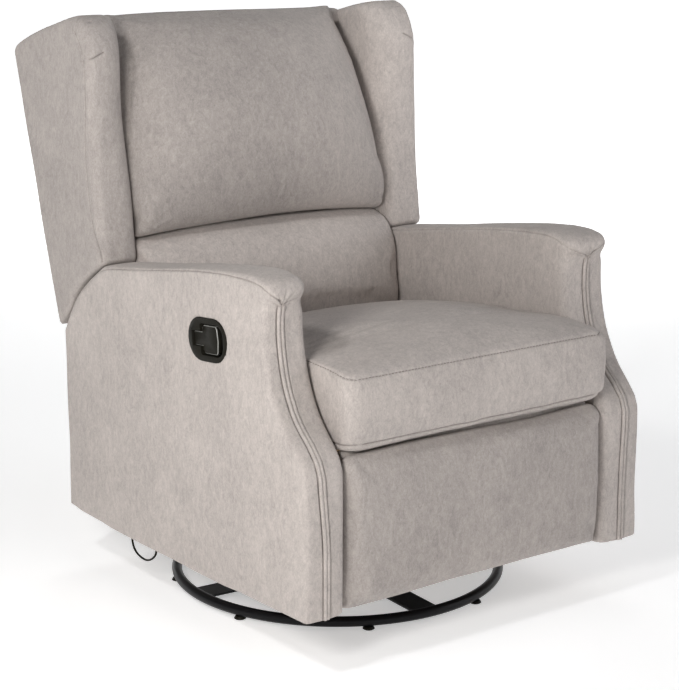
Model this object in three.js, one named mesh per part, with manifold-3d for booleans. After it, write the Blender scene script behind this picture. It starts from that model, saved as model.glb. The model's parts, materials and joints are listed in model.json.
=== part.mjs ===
// Glider nursery chair: a wing-back recliner that swivels and glides on a round steel base.
// Millimetres. +Z is up, the sitter faces -Y and the sitter's left is +X. The origin is on the
// floor, under the middle of the whole chair.

import * as THREE from 'three';
import { mergeVertices } from 'three/addons/utils/BufferGeometryUtils.js';
import Module from 'manifold-3d';

const wasm = await Module();
wasm.setup();

// ---- Driving dimensions ----

const GAP = 0.3; // between pieces that touch
const SHEET = 4; // steel plate of the mechanism
const PIVOT_R = 6; // rivet studs
const PIVOT_HOLE_R = 6.4;
const LINK_HALF_WIDTH = 12;

const UNDERSIDE_Z = 108;
const SWIVEL_Y = -54.5;
const BASE_TURN = THREE.MathUtils.degToRad(-4);

const RING = { radius: 301.5, tube: 9.5, z: 15, sides: 10, steps: 48 };
const STRAP = { width: 50, thick: 4, z: 12, humpHalf: 60, humpRun: 14 };
const FLOOR_GLIDE = { count: 8, radius: 11, footRadius: 9, firstAngle: Math.PI / 8 };
const SWIVEL_PLATE = { lowerR: 85, upperR: 92, boreR: 10.4, lowerZ: 20.6, splitZ: 28.2, topZ: 38 };
const KING_BOLT = { radius: 10, headRadius: 17, headHeight: 8 };

const CROSSBAR = { halfLength: 180, width: 40, height: 19, offset: 60 };
const GLIDE = { halfBase: 75, topZ: 250, length: 125 }; // four equal hanging links
const UPRIGHT_X = 176; // layers of the glider, from the middle outwards
const GLIDER_LINK_X = 182;
const CARRIAGE_X = 188.6;
const CARRIAGE_TOP_Z = 300;
const CARRIAGE_RAIL = { front: -205, rear: 140, width: 20, height: 19, halfLength: 251.6 };

const ARM = { inner: 285, outer: 365.5, wall: 12, bevel: 8, cavityTopZ: 560 };
const REAR_PANEL = { frontY: 285, rearY: 305, bottomZ: 112, topZ: 316 };
const SEAT_HALF_WIDTH = 276;
const BODY_HALF_WIDTH = 281; // what fits between the arms
const SOFT_BEVEL = 14; // rounding of the back cushions' ends

const DECK = { frontY: -452, frontZ: 378, slope: 0.0667 }; // underside of the seat cushion
const SIDE_RAIL = { inner: 258, outer: 280, height: 40, drop: 5, frontY: -415, rearY: 245 };
const END_RAIL = { halfLength: 250, thick: 22, height: 22, frontY: -404, rearY: 231 };
const SPRING = { count: 3, pitch: 130, wire: 2, swing: 24, waves: 10 };

const MECHANISM_X = 252; // layers of the footrest linkage, from the outside inwards
const LOWER_LINK_X = 244;
const UPPER_LINK_X = 237;
const BRACKET_X = 230;
const FOOTREST_PIVOT = [-330, 322];
const FOOTREST_LINK = 195;
const TORQUE_TUBE = { arm: 50, radius: 8 };
const FOOTREST = { frontY: -453, bottomZ: 110, topZ: 362, pad: 21, board: 10, halfWidth: 282 };

const RECLINE_PIVOT = [263.4, 330]; // the middle of the back board leans through it
const BACK_LEAN = 0.2716; // rearward run of the back for each unit of height
const BACK_BOARD = { halfWidth: 243, thick: 18, bottomZ: 385, topZ: 935 };
const BACK_BRACKET = { thick: 6, topZ: 520, halfWidth: 10 };
const BACK_COVER = { bottomZ: 365, topZ: 949, thick: 18 };
const CREASE_Z = 629; // between the lumbar and the head cushion
const WING = { inner: 283, outer: 364, bottomZ: 452, topZ: 1030, bevel: 10 };

const HANDLE = { y: -187, z: 523.5, length: 117, height: 75, tilt: THREE.MathUtils.degToRad(5) };
const BEZEL = { proud: 4, depth: 22, lip: 6, floor: 3 };
const PADDLE = { thick: 9, faceX: 367, stem: 12, body: 24, end: 42.5, shoulder: 18, lip: -29 };
const POCKET = { stem: 13, body: 27, end: 45.5, shoulder: 20.8, lip: -47.5, round: 20 };

const LATCH = { y: -170, z: 312, length: 38, x: 246.5 };
const CABLE_R = 2;
const CABLE_PORT = [-60, 292]; // where the cable leaves the arm

// ---- Materials ----

const standard = (color, roughness, metalness = 0) =>
  new THREE.MeshStandardMaterial({ color, roughness, metalness });
const fabric = standard(0xb9b0a7, 0.92);
const blackSteel = standard(0x1c1c1e, 0.45, 0.6);
const zincSteel = standard(0x8f9194, 0.4, 0.85);
const blackPlastic = standard(0x161617, 0.35);
const wood = standard(0xb58d5f, 0.75);

// ---- Geometry helpers ----

const chair = new THREE.Group();
const X = new THREE.Vector3(1, 0, 0);
const Y = new THREE.Vector3(0, 1, 0);
const Z = new THREE.Vector3(0, 0, 1);
const ACROSS = new THREE.Matrix4().makeBasis(Y, Z, X);

const points = (...pairs) => pairs.map(([y, z]) => new THREE.Vector2(y, z));

function welded(geometry) {
  geometry.deleteAttribute('normal');
  geometry.deleteAttribute('uv');
  return mergeVertices(geometry, 1e-3);
}

function add(name, geometry, material, parent = chair) {
  const mesh = new THREE.Mesh(geometry, material);
  mesh.name = name;
  parent.add(mesh);
  return mesh;
}

function toSolid(geometry) {
  const mesh = welded(geometry);
  const vertProperties = Float32Array.from(mesh.attributes.position.array);
  const triVerts = Uint32Array.from(mesh.index.array);
  return new wasm.Manifold(new wasm.Mesh({ numProp: 3, vertProperties, triVerts }));
}

function fromSolid(solid) {
  const mesh = solid.getMesh();
  const geometry = new THREE.BufferGeometry();
  geometry.setAttribute('position', new THREE.BufferAttribute(mesh.vertProperties, 3));
  geometry.setIndex(new THREE.BufferAttribute(mesh.triVerts, 1));
  return geometry;
}

const join = (...parts) =>
  fromSolid(parts.map(toSolid).reduce((whole, part) => whole.add(part)));
const cut = (body, ...tools) =>
  fromSolid(tools.map(toSolid).reduce((rest, tool) => rest.subtract(tool), toSolid(body)));

// An outline in (y, z), made solid from xLow to xHigh, with its two faces' edges rounded.
function extrudeAcross(shape, xLow, xHigh, bevel = 0) {
  const geometry = new THREE.ExtrudeGeometry(shape, {
    depth: xHigh - xLow - 2 * bevel,
    bevelEnabled: bevel > 0,
    bevelThickness: bevel,
    bevelSize: bevel,
    bevelOffset: -bevel,
    bevelSegments: 2,
    curveSegments: bevel > 2 ? 2 : 6,
  });
  geometry.translate(0, 0, xLow + bevel);
  geometry.applyMatrix4(ACROSS);
  return welded(geometry);
}

function mirrored(geometry) {
  const copy = geometry.clone().scale(-1, 1, 1);
  const index = copy.index.array;
  for (let i = 0; i < index.length; i += 3) {
    [index[i], index[i + 1]] = [index[i + 1], index[i]];
  }
  return copy;
}

// The same piece on the sitter's left (+X) and right.
function addPair(name, geometry, material) {
  add(`${name}_left`, geometry, material);
  add(`${name}_right`, mirrored(geometry), material);
}

function box(xLow, xHigh, yLow, yHigh, zLow, zHigh) {
  const geometry = new THREE.BoxGeometry(xHigh - xLow, yHigh - yLow, zHigh - zLow);
  geometry.translate((xLow + xHigh) / 2, (yLow + yHigh) / 2, (zLow + zHigh) / 2);
  return welded(geometry);
}

function pin([y, z], radius, xLow, xHigh) {
  const geometry = new THREE.CylinderGeometry(radius, radius, xHigh - xLow, 12);
  geometry.rotateZ(Math.PI / 2);
  geometry.translate((xLow + xHigh) / 2, y, z);
  return welded(geometry);
}

function turned(profile, steps = 32) {
  const geometry = new THREE.LatheGeometry(points(...profile, profile[0]), steps);
  geometry.rotateX(Math.PI / 2);
  return welded(geometry);
}

function polygon(...pairs) {
  return new THREE.Shape(points(...pairs));
}

// A flat link with round ends, from one pivot to the other, with holes where it is asked.
function linkShape([y0, z0], [y1, z1], holes, halfWidth = LINK_HALF_WIDTH) {
  const along = Math.atan2(z1 - z0, y1 - y0);
  const quarter = Math.PI / 2;
  const shape = new THREE.Shape();
  shape.absarc(y0, z0, halfWidth, along + quarter, along + 3 * quarter, false);
  shape.absarc(y1, z1, halfWidth, along - quarter, along + quarter, false);
  shape.closePath();
  for (const [y, z] of holes) {
    const hole = new THREE.Path();
    hole.absarc(y, z, PIVOT_HOLE_R, 0, 2 * Math.PI, true);
    shape.holes.push(hole);
  }
  return shape;
}

// ---- Base: ring, crossed straps, floor glides and the fixed half of the swivel ----

function buildBase() {
  const base = new THREE.Group();
  base.position.y = SWIVEL_Y;
  base.rotation.z = BASE_TURN;
  chair.add(base);

  const ring = new THREE.TorusGeometry(RING.radius, RING.tube, RING.sides, RING.steps);
  add('base_ring', welded(ring.translate(0, 0, RING.z)), blackSteel, base);

  const reach = RING.radius - RING.tube - 2.5;
  const half = STRAP.width / 2;
  const top = STRAP.z + STRAP.thick;
  add('base_strap_fore_aft', box(-half, half, -reach, reach, STRAP.z, top), blackSteel, base);
  add('base_strap_side', sideStrap(reach, half), blackSteel, base);

  const glideTop = RING.z - RING.tube - GAP;
  for (let i = 0; i < FLOOR_GLIDE.count; i += 1) {
    const angle = FLOOR_GLIDE.firstAngle + (i * 2 * Math.PI) / FLOOR_GLIDE.count;
    const { radius, footRadius } = FLOOR_GLIDE;
    const profile = [[0, 0], [footRadius, 0], [radius, 1.5], [footRadius, glideTop], [0, glideTop]];
    const glide = turned(profile, 16);
    const mesh = add(`floor_glide_${i + 1}`, glide, blackPlastic, base);
    mesh.position.set(RING.radius * Math.cos(angle), RING.radius * Math.sin(angle), 0);
  }

  const { lowerR, boreR, lowerZ, splitZ, topZ } = SWIVEL_PLATE;
  const plateTop = splitZ - GAP;
  const lower = turned([[boreR, lowerZ], [lowerR, lowerZ], [lowerR, plateTop], [boreR, plateTop]]);
  add('swivel_lower_plate', lower, zincSteel, base);

  const headZ = topZ + GAP;
  const { radius, headRadius, headHeight } = KING_BOLT;
  const bolt = turned([[0, lowerZ], [radius, lowerZ], [radius, headZ], [headRadius, headZ],
    [headRadius, headZ + headHeight], [0, headZ + headHeight]], 24);
  add('king_bolt', bolt, zincSteel, base);
}

// The side strap steps up over the fore-and-aft one where they cross.
function sideStrap(reach, half) {
  const low = STRAP.z;
  const high = STRAP.z + STRAP.thick + GAP;
  const inner = STRAP.humpHalf;
  const outer = inner + STRAP.humpRun;
  const thick = STRAP.thick;
  const shape = polygon([-reach, low], [-outer, low], [-inner, high], [inner, high],
    [outer, low], [reach, low], [reach, low + thick], [outer, low + thick],
    [inner, high + thick], [-inner, high + thick], [-outer, low + thick], [-reach, low + thick]);
  return extrudeAcross(shape, -half, half).rotateZ(Math.PI / 2);
}

// ---- Swivel: the turning half, with the two uprights that the glider hangs from ----

const glidePivotsY = [SWIVEL_Y - GLIDE.halfBase, SWIVEL_Y + GLIDE.halfBase];
const glideBottomZ = GLIDE.topZ - GLIDE.length;

function buildSwivel() {
  const { upperR, boreR, splitZ, topZ } = SWIVEL_PLATE;
  const plate = turned([[boreR, splitZ], [upperR - 6, splitZ], [upperR, splitZ + 4], [upperR, topZ],
    [boreR, topZ]]);
  plate.translate(0, SWIVEL_Y, 0);
  add('swivel_upper_plate', plate, zincSteel);

  const { halfLength, width, height, offset } = CROSSBAR;
  const barZ = topZ + GAP;
  for (const [name, y] of [['front', SWIVEL_Y - offset], ['rear', SWIVEL_Y + offset]]) {
    const bar = box(-halfLength, halfLength, y - width / 2, y + width / 2, barZ, barZ + height);
    add(`glider_crossbar_${name}`, bar, blackSteel);
  }

  const foot = barZ + height + GAP;
  const [front, rear] = glidePivotsY;
  const upright = new THREE.Shape();
  upright.moveTo(front - 15, foot);
  upright.lineTo(rear + 15, foot);
  upright.lineTo(rear + 15, GLIDE.topZ);
  upright.absarc(rear, GLIDE.topZ, 15, 0, Math.PI / 2, false);
  upright.absarc(front, GLIDE.topZ, 15, Math.PI / 2, Math.PI, false);
  upright.closePath();
  const studs = glidePivotsY.map((y) =>
    pin([y, GLIDE.topZ], PIVOT_R, UPRIGHT_X + 1, CARRIAGE_X - 1));
  const plateSolid = extrudeAcross(upright, UPRIGHT_X, UPRIGHT_X + SHEET);
  addPair('glider_upright', join(plateSolid, ...studs), blackSteel);
}

// ---- Glider links: four hanging links, each a stud's clearance on its pivots ----

function buildGliderLinks() {
  for (const [name, y] of [['front', glidePivotsY[0]], ['rear', glidePivotsY[1]]]) {
    const top = [y, GLIDE.topZ];
    const bottom = [y, glideBottomZ];
    const shape = linkShape(bottom, top, [top, bottom]);
    const link = extrudeAcross(shape, GLIDER_LINK_X, GLIDER_LINK_X + SHEET);
    addPair(`glider_link_${name}`, link, zincSteel);
  }
}

// ---- Seat carriage: what hangs on the links and carries the seat box ----

function buildCarriage() {
  const [front, rear] = glidePivotsY;
  const { front: railFront, rear: railRear, width, height, halfLength } = CARRIAGE_RAIL;
  const low = glideBottomZ - LINK_HALF_WIDTH - 1;
  const shape = polygon([front - 20, low], [rear + 20, low],
    [railRear + 10, CARRIAGE_TOP_Z], [railFront - 10, CARRIAGE_TOP_Z]);
  const plate = extrudeAcross(shape, CARRIAGE_X, CARRIAGE_X + SHEET);
  const studs = glidePivotsY.map((y) =>
    pin([y, glideBottomZ], PIVOT_R, UPRIGHT_X + SHEET + 1, CARRIAGE_X + 1));
  addPair('carriage_plate', join(plate, ...studs), blackSteel);

  const railZ = CARRIAGE_TOP_Z + GAP;
  for (const [name, y] of [['front', railFront], ['rear', railRear]]) {
    const rail = box(-halfLength, halfLength, y - width / 2, y + width / 2, railZ, railZ + height);
    add(`carriage_rail_${name}`, rail, blackSteel);
  }

  const [py, pz] = FOOTREST_PIVOT;
  const [ry, rz] = RECLINE_PIVOT;
  const side = polygon([py - 20, pz - 18], [ry + 20, pz - 18], [ry + 20, rz + 14],
    [ry - 20, rz + 14], [ry - 80, pz + 2], [py + 90, pz + 2], [py + 40, pz + 20],
    [py - 20, pz + 20]);
  const sidePlate = extrudeAcross(side, MECHANISM_X, MECHANISM_X + SHEET);
  const inward = MECHANISM_X + 1;
  const linkStud = pin(FOOTREST_PIVOT, PIVOT_R, LOWER_LINK_X - 1.4, inward);
  const backStud = pin(RECLINE_PIVOT, PIVOT_R, BACK_BOARD.halfWidth - 1, inward);
  const addStuds = (...more) => join(sidePlate, linkStud, backStud, ...more);
  add('mechanism_plate_left', addStuds(), blackSteel);
  const latchStud = pin([LATCH.y, LATCH.z], 4, LATCH.x - 1, inward);
  add('mechanism_plate_right', mirrored(addStuds(latchStud)), blackSteel);
}

// ---- Seat box: wooden rails, sinuous springs and the cushion ----

const deckZ = (y) => DECK.frontZ - DECK.slope * (y - DECK.frontY);

function buildSeatBox() {
  const { halfLength, thick, height, frontY, rearY } = END_RAIL;
  for (const [name, y] of [['front', frontY], ['rear', rearY]]) {
    const top = deckZ(y) - 2 * SPRING.wire - 3.5;
    const rail = box(-halfLength, halfLength, y - thick / 2, y + thick / 2, top - height, top);
    add(`seat_rail_${name}`, rail, wood);
  }

  const { frontY: low, rearY: high, drop } = SIDE_RAIL;
  const lowTop = deckZ(low) - drop;
  const highTop = deckZ(high) - drop;
  const side = polygon([low, lowTop - SIDE_RAIL.height], [high, highTop - SIDE_RAIL.height],
    [high, highTop], [low, lowTop]);
  addPair('seat_rail', extrudeAcross(side, SIDE_RAIL.inner, SIDE_RAIL.outer), wood);

  for (let i = 0; i < SPRING.count; i += 1) {
    const x = (i - (SPRING.count - 1) / 2) * SPRING.pitch;
    add(`seat_spring_${i + 1}`, springGeometry(x), zincSteel);
  }

  const cushion = new THREE.Shape();
  cushion.moveTo(118, deckZ(118));
  cushion.lineTo(118, 452);
  cushion.splineThru(points([60, 466], [-100, 494], [-300, 513], [-425, 510]));
  cushion.lineTo(-453, 495);
  cushion.lineTo(-458, 484);
  cushion.lineTo(-458, 392);
  cushion.lineTo(-447, deckZ(-447));
  cushion.closePath();
  add('seat_cushion', extrudeAcross(cushion, -SEAT_HALF_WIDTH, SEAT_HALF_WIDTH, 12), fabric);
}

// A zigzag wire from the front rail to the rear one, lying in the slope of the deck.
function springGeometry(x) {
  const { wire, swing, waves } = SPRING;
  const stops = [];
  for (let i = 0; i <= 4 * waves; i += 1) {
    const y = END_RAIL.frontY + ((END_RAIL.rearY - END_RAIL.frontY) * i) / (4 * waves);
    const side = swing * Math.sin((i * Math.PI) / 2);
    stops.push(new THREE.Vector3(x + side, y, deckZ(y) - wire - 2.5));
  }
  return tube(new THREE.CatmullRomCurve3(stops), wire, 6, 6 * waves);
}

function tube(path, radius, sides, steps) {
  const section = new THREE.Shape();
  for (let i = 0; i < sides; i += 1) {
    const angle = (2 * Math.PI * i) / sides;
    const place = [radius * Math.cos(angle), radius * Math.sin(angle)];
    if (i === 0) section.moveTo(...place);
    else section.lineTo(...place);
  }
  section.closePath();
  return welded(new THREE.ExtrudeGeometry(section, { extrudePath: path, steps }));
}

// ---- Arms: padded shells, open underneath, with the seat box between them ----

function armShape() {
  const shape = new THREE.Shape();
  shape.moveTo(-460, UNDERSIDE_Z);
  shape.splineThru(points([-300, 102], [-120, 97], [60, 97], [220, 102], [307.5, UNDERSIDE_Z]));
  shape.lineTo(307.5, 447);
  shape.splineThru(points([290.5, 473], [255.5, 519], [212.5, 555], [155.5, 591]));
  shape.splineThru(points([56.5, 603], [-156.5, 637], [-224.5, 644], [-334.5, 648]));
  shape.lineTo(-354, 643);
  shape.lineTo(-365.5, 630);
  shape.lineTo(-352, 602);
  shape.splineThru(points([-350, 542], [-361, 490], [-381, 446], [-404, 416], [-432, 391]));
  shape.lineTo(-453, 368);
  shape.lineTo(-460, 345);
  shape.closePath();
  return shape;
}

function armCavity() {
  const low = UNDERSIDE_Z - 20;
  const shape = polygon([-435, low], [292, low], [292, 440], [240, 515], [150, ARM.cavityTopZ],
    [-328, ARM.cavityTopZ], [-333, 480], [-385, 390], [-435, 340]);
  return extrudeAcross(shape, ARM.inner + ARM.wall, ARM.outer - ARM.wall);
}

function buildArms() {
  const solid = extrudeAcross(armShape(), ARM.inner, ARM.outer, ARM.bevel);
  add('arm_left', cut(solid, armCavity()), fabric);

  const margin = 2 * (GAP - BEZEL.lip);
  const pocket = handleOutline(HANDLE.length + margin, HANDLE.height + margin);
  const hole = placeHandle(extrudeAcross(pocket, ARM.outer - ARM.wall - 1, ARM.outer + 1));
  const cablePort = pin(CABLE_PORT, 7, ARM.inner - 1, ARM.inner + ARM.wall + 1);
  add('arm_right', mirrored(cut(solid, armCavity(), hole, cablePort)), fabric);

  const { frontY, rearY, bottomZ, topZ } = REAR_PANEL;
  const rear = polygon([frontY, bottomZ], [rearY, bottomZ], [rearY, topZ], [frontY, topZ]);
  add('rear_panel', extrudeAcross(rear, -BODY_HALF_WIDTH, BODY_HALF_WIDTH, 4), fabric);
}

// ---- Release handle, its cable and the latch that it pulls ----

// A stadium about the handle's own middle.
function handleOutline(length, height) {
  const r = height / 2;
  return linkShape([r - length / 2, 0], [length / 2 - r, 0], [], r);
}

// A T on its side: a narrow stem to the rear, and a wide body with round front corners.
function pocketOutline() {
  const { stem, body, end, shoulder, lip, round } = POCKET;
  const quarter = Math.PI / 2;
  const outline = new THREE.Shape(points([end, stem], [end, -stem], [shoulder, -stem]));
  outline.absarc(shoulder - 5, 5 - body, 5, 0, -quarter, true);
  outline.absarc(lip + round, round - body, round, -quarter, -2 * quarter, true);
  outline.absarc(lip + round, body - round, round, 2 * quarter, quarter, true);
  outline.absarc(shoulder - 5, body - 5, 5, quarter, 0, true);
  outline.lineTo(shoulder, stem);
  outline.closePath();
  return outline;
}

// The paddle fills the pocket up to its lip, and leaves the front of it free for the fingers.
function paddleOutline() {
  const { stem, body, end, shoulder, lip } = PADDLE;
  return polygon([end, stem - 2], [end - 2, stem], [shoulder, stem], [shoulder, body - 6],
    [shoulder - 6, body], [lip + 6, body], [lip + 2.5, body - 4], [lip, 0], [lip + 2.5, 4 - body],
    [lip + 6, -body], [shoulder - 6, -body], [shoulder, 6 - body], [shoulder, -stem], [end - 2, -stem],
    [end, 2 - stem]);
}

function placeHandle(geometry) {
  return geometry.rotateX(-HANDLE.tilt).translate(0, HANDLE.y, HANDLE.z);
}

function buildHandle() {
  const inLength = HANDLE.length - 2 * BEZEL.lip;
  const inHeight = HANDLE.height - 2 * BEZEL.lip;
  const flangeX = ARM.outer + GAP;
  const outerX = flangeX + BEZEL.proud;
  const backX = ARM.outer - BEZEL.depth;
  const flange = extrudeAcross(handleOutline(HANDLE.length, HANDLE.height), flangeX, outerX, 1.2);
  const cup = extrudeAcross(handleOutline(inLength, inHeight), backX, outerX - 1);
  const hollow = extrudeAcross(pocketOutline(), backX + BEZEL.floor, outerX + 1);
  add('handle_bezel', mirrored(placeHandle(cut(join(flange, cup), hollow))), blackPlastic);

  const paddle = extrudeAcross(paddleOutline(), PADDLE.faceX - PADDLE.thick, PADDLE.faceX, 1.2);
  add('release_paddle', mirrored(placeHandle(paddle)), blackPlastic);

  const top = [LATCH.y, LATCH.z];
  const foot = [LATCH.y, LATCH.z - LATCH.length];
  const lever = cut(extrudeAcross(linkShape(foot, top, [], 9), LATCH.x, LATCH.x + SHEET),
    pin(top, 4.4, LATCH.x - 1, LATCH.x + SHEET + 1));
  add('latch_lever', mirrored(lever), zincSteel);

  add('release_cable', tube(cablePath(), CABLE_R, 8, 72), blackPlastic);
}

// From the back of the handle, down through the arm, in one loop under it, and up to the latch.
function cablePath() {
  const [portY, portZ] = CABLE_PORT;
  const latchZ = LATCH.z - LATCH.length;
  const stops = [
    [-(ARM.outer - BEZEL.depth - 1.5), HANDLE.y, 515], [-335, HANDLE.y, 514], [-327, -183, 495],
    [-325, -165, 400], [-327, -70, 240], [-330, 20, 150], [-330, 52, 100], [-330, 58, 68],
    [-330, 90, 49], [-330, 128, 56], [-330, 140, 85], [-330, 132, 150], [-327, 70, 240],
    [-320, -20, 284], [-305, portY + 2, portZ + 1], [-290, portY, portZ], [-262, -78, 284],
    [-252, -105, latchZ - 4], [-248.5, LATCH.y + 24, latchZ],
  ];
  return new THREE.CatmullRomCurve3(stops.map((stop) => new THREE.Vector3(...stop)));
}

// ---- Back: side brackets on the recline pivots, board, padded cover, wings and cushions ----

// How far back the leaning board's middle is at height z, moved by an offset to its faces.
const backY = (offset, z) => RECLINE_PIVOT[0] + offset + BACK_LEAN * (z - RECLINE_PIVOT[1]);

function buildBack() {
  const { halfWidth, thick, bottomZ, topZ } = BACK_BOARD;
  const coverOffset = thick / 2 + 2 + BACK_COVER.thick;

  const reach = [backY(0, BACK_BRACKET.topZ), BACK_BRACKET.topZ];
  const bracketShape = linkShape(RECLINE_PIVOT, reach, [RECLINE_PIVOT], BACK_BRACKET.halfWidth);
  const bracketX = halfWidth + 0.5;
  const bracket = extrudeAcross(bracketShape, bracketX, bracketX + BACK_BRACKET.thick);
  addPair('back_bracket', bracket, blackSteel);

  const board = polygon([backY(-thick / 2, bottomZ), bottomZ],
    [backY(thick / 2, bottomZ), bottomZ], [backY(thick / 2, topZ), topZ],
    [backY(-thick / 2, topZ), topZ]);
  add('back_board', extrudeAcross(board, -halfWidth, halfWidth), wood);

  const rear = (z) => backY(coverOffset, z);
  const { bottomZ: hemZ, topZ: cornerZ } = BACK_COVER;
  const cover = new THREE.Shape();
  cover.moveTo(rear(hemZ) - BACK_COVER.thick, hemZ);
  cover.lineTo(rear(hemZ), hemZ);
  cover.lineTo(rear(cornerZ), cornerZ);
  cover.lineTo(446, 964);
  cover.lineTo(332, 1012);
  cover.lineTo(326, 992);
  cover.lineTo(rear(952) - BACK_COVER.thick, 952);
  cover.closePath();
  add('back_cover', extrudeAcross(cover, -BODY_HALF_WIDTH, BODY_HALF_WIDTH), fabric);

  const front = (z) => backY(-thick / 2 - 2, z);
  const head = new THREE.Shape();
  head.moveTo(front(CREASE_Z + 3), CREASE_Z + 3);
  head.lineTo(front(955), 955);
  head.lineTo(322, 990);
  head.lineTo(324, 1012);
  head.lineTo(306, 1016);
  head.splineThru(points([238, 988], [165, 900], [125, 800], [118, 710]));
  head.lineTo(135, 655);
  head.lineTo(180, CREASE_Z + 3);
  head.closePath();
  const headSolid = extrudeAcross(head, -BODY_HALF_WIDTH, BODY_HALF_WIDTH, SOFT_BEVEL);
  add('head_cushion', headSolid, fabric);

  const lumbar = new THREE.Shape();
  lumbar.moveTo(front(CREASE_Z - 1), CREASE_Z - 1);
  lumbar.lineTo(180, CREASE_Z - 1);
  lumbar.lineTo(125, 606);
  lumbar.splineThru(points([90, 560], [84, 500]));
  lumbar.lineTo(100, 462);
  lumbar.lineTo(140, 456);
  lumbar.lineTo(160, 400);
  lumbar.lineTo(front(400), 400);
  lumbar.closePath();
  const lumbarSolid = extrudeAcross(lumbar, -BODY_HALF_WIDTH, BODY_HALF_WIDTH, SOFT_BEVEL);
  add('lumbar_cushion', lumbarSolid, fabric);

  addPair('wing', wingGeometry(), fabric);
}

function wingGeometry() {
  const shape = new THREE.Shape();
  shape.moveTo(325.5, WING.bottomZ);
  shape.lineTo(459, 944);
  shape.lineTo(450, 958);
  shape.splineThru(points([362.5, 994], [262.5, 1024], [232, WING.topZ]));
  shape.lineTo(206, 1016);
  shape.lineTo(187, 988);
  shape.lineTo(182, 950);
  shape.splineThru(points([178.5, 869], [172, 747], [154.5, 596]));
  shape.splineThru(points([212.5, 560], [255.5, 524], [290.5, 479]));
  shape.closePath();
  return extrudeAcross(shape, WING.inner, WING.outer, WING.bevel);
}

// ---- Footrest: folding links, a torque tube between them, brackets, board and pad ----

function buildFootrest() {
  const top = FOOTREST_PIVOT;
  const [y, z] = top;
  const bottom = [y, z - FOOTREST_LINK];
  const tubeAt = [y + TORQUE_TUBE.arm, z];
  const layer = (shape, x) => extrudeAcross(shape, x, x + SHEET);

  const tubeArm = layer(linkShape([y + LINK_HALF_WIDTH, z], tubeAt, []), LOWER_LINK_X);
  const kneeStud = pin(bottom, PIVOT_R, UPPER_LINK_X - 1.4, LOWER_LINK_X + 1);
  const lower = join(layer(linkShape(bottom, top, [top]), LOWER_LINK_X), tubeArm, kneeStud);
  const lowerBore = pin(top, PIVOT_HOLE_R, LOWER_LINK_X - 1, MECHANISM_X);
  addPair('footrest_lower_link', cut(lower, lowerBore), zincSteel);
  const tubeEnd = LOWER_LINK_X - GAP;
  add('torque_tube', pin(tubeAt, TORQUE_TUBE.radius, -tubeEnd, tubeEnd), blackSteel);

  const upper = join(layer(linkShape(bottom, top, [bottom]), UPPER_LINK_X),
    pin(top, PIVOT_R, BRACKET_X - 1.4, UPPER_LINK_X + 1));
  addPair('footrest_upper_link', upper, zincSteel);

  const boardY = FOOTREST.frontY + FOOTREST.pad + GAP;
  const backY0 = boardY + FOOTREST.board + GAP;
  const arm = layer(linkShape([backY0 + LINK_HALF_WIDTH, z], top, []), BRACKET_X);
  const foot = layer(polygon([backY0, z - 130], [backY0 + 16, z - 130], [backY0 + 30, z - 12],
    [backY0 + 30, z + 12], [backY0, z + 12]), BRACKET_X);
  const bracketBore = pin(top, PIVOT_HOLE_R, BRACKET_X - 1, BRACKET_X + SHEET + 1);
  addPair('footrest_bracket', cut(join(arm, foot), bracketBore), blackSteel);

  const { frontY, bottomZ, topZ, halfWidth } = FOOTREST;
  const boardHalf = halfWidth - 14;
  const boardRear = boardY + FOOTREST.board;
  add('footrest_board', box(-boardHalf, boardHalf, boardY, boardRear, bottomZ + 12, topZ - 14), wood);
  const padRear = boardY - GAP;
  const pad = polygon([frontY, bottomZ + 6], [frontY + 6, bottomZ], [padRear, bottomZ],
    [padRear, topZ], [frontY + 6, topZ], [frontY, topZ - 6]);
  add('footrest_pad', extrudeAcross(pad, -halfWidth, halfWidth, 4), fabric);
}

buildBase();
buildSwivel();
buildGliderLinks();
buildCarriage();
buildSeatBox();
buildArms();
buildHandle();
buildBack();
buildFootrest();

export default chair;
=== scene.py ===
"""Looks of the glider nursery chair: upholstery, seams, double welts, handle and base on the CAD frame."""

import json
import math

import bmesh
import bpy
import numpy as np
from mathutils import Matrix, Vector, noise
from mathutils.bvhtree import BVHTree


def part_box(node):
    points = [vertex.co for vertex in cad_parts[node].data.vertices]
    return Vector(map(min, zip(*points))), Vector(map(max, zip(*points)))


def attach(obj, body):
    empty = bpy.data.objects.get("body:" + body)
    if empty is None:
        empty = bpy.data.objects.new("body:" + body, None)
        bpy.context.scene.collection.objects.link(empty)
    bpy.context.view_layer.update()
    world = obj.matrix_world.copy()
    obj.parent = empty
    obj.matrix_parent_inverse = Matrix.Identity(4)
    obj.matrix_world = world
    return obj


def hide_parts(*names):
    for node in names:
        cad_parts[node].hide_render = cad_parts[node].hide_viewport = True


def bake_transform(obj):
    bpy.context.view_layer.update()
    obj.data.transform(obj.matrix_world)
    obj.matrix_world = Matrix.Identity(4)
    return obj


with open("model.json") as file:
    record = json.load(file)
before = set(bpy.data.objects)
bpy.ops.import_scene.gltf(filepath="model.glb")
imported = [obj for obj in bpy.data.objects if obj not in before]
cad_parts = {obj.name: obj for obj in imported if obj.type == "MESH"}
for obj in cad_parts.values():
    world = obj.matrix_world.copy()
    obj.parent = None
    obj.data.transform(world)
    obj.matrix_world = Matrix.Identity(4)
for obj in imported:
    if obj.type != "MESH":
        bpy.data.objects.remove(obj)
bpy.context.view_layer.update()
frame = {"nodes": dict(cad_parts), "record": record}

SIDES = {"left": 1.0, "right": -1.0}  # the sitter's left is +X

# ---- Sizes, in metres, taken from the frame ----

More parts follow.
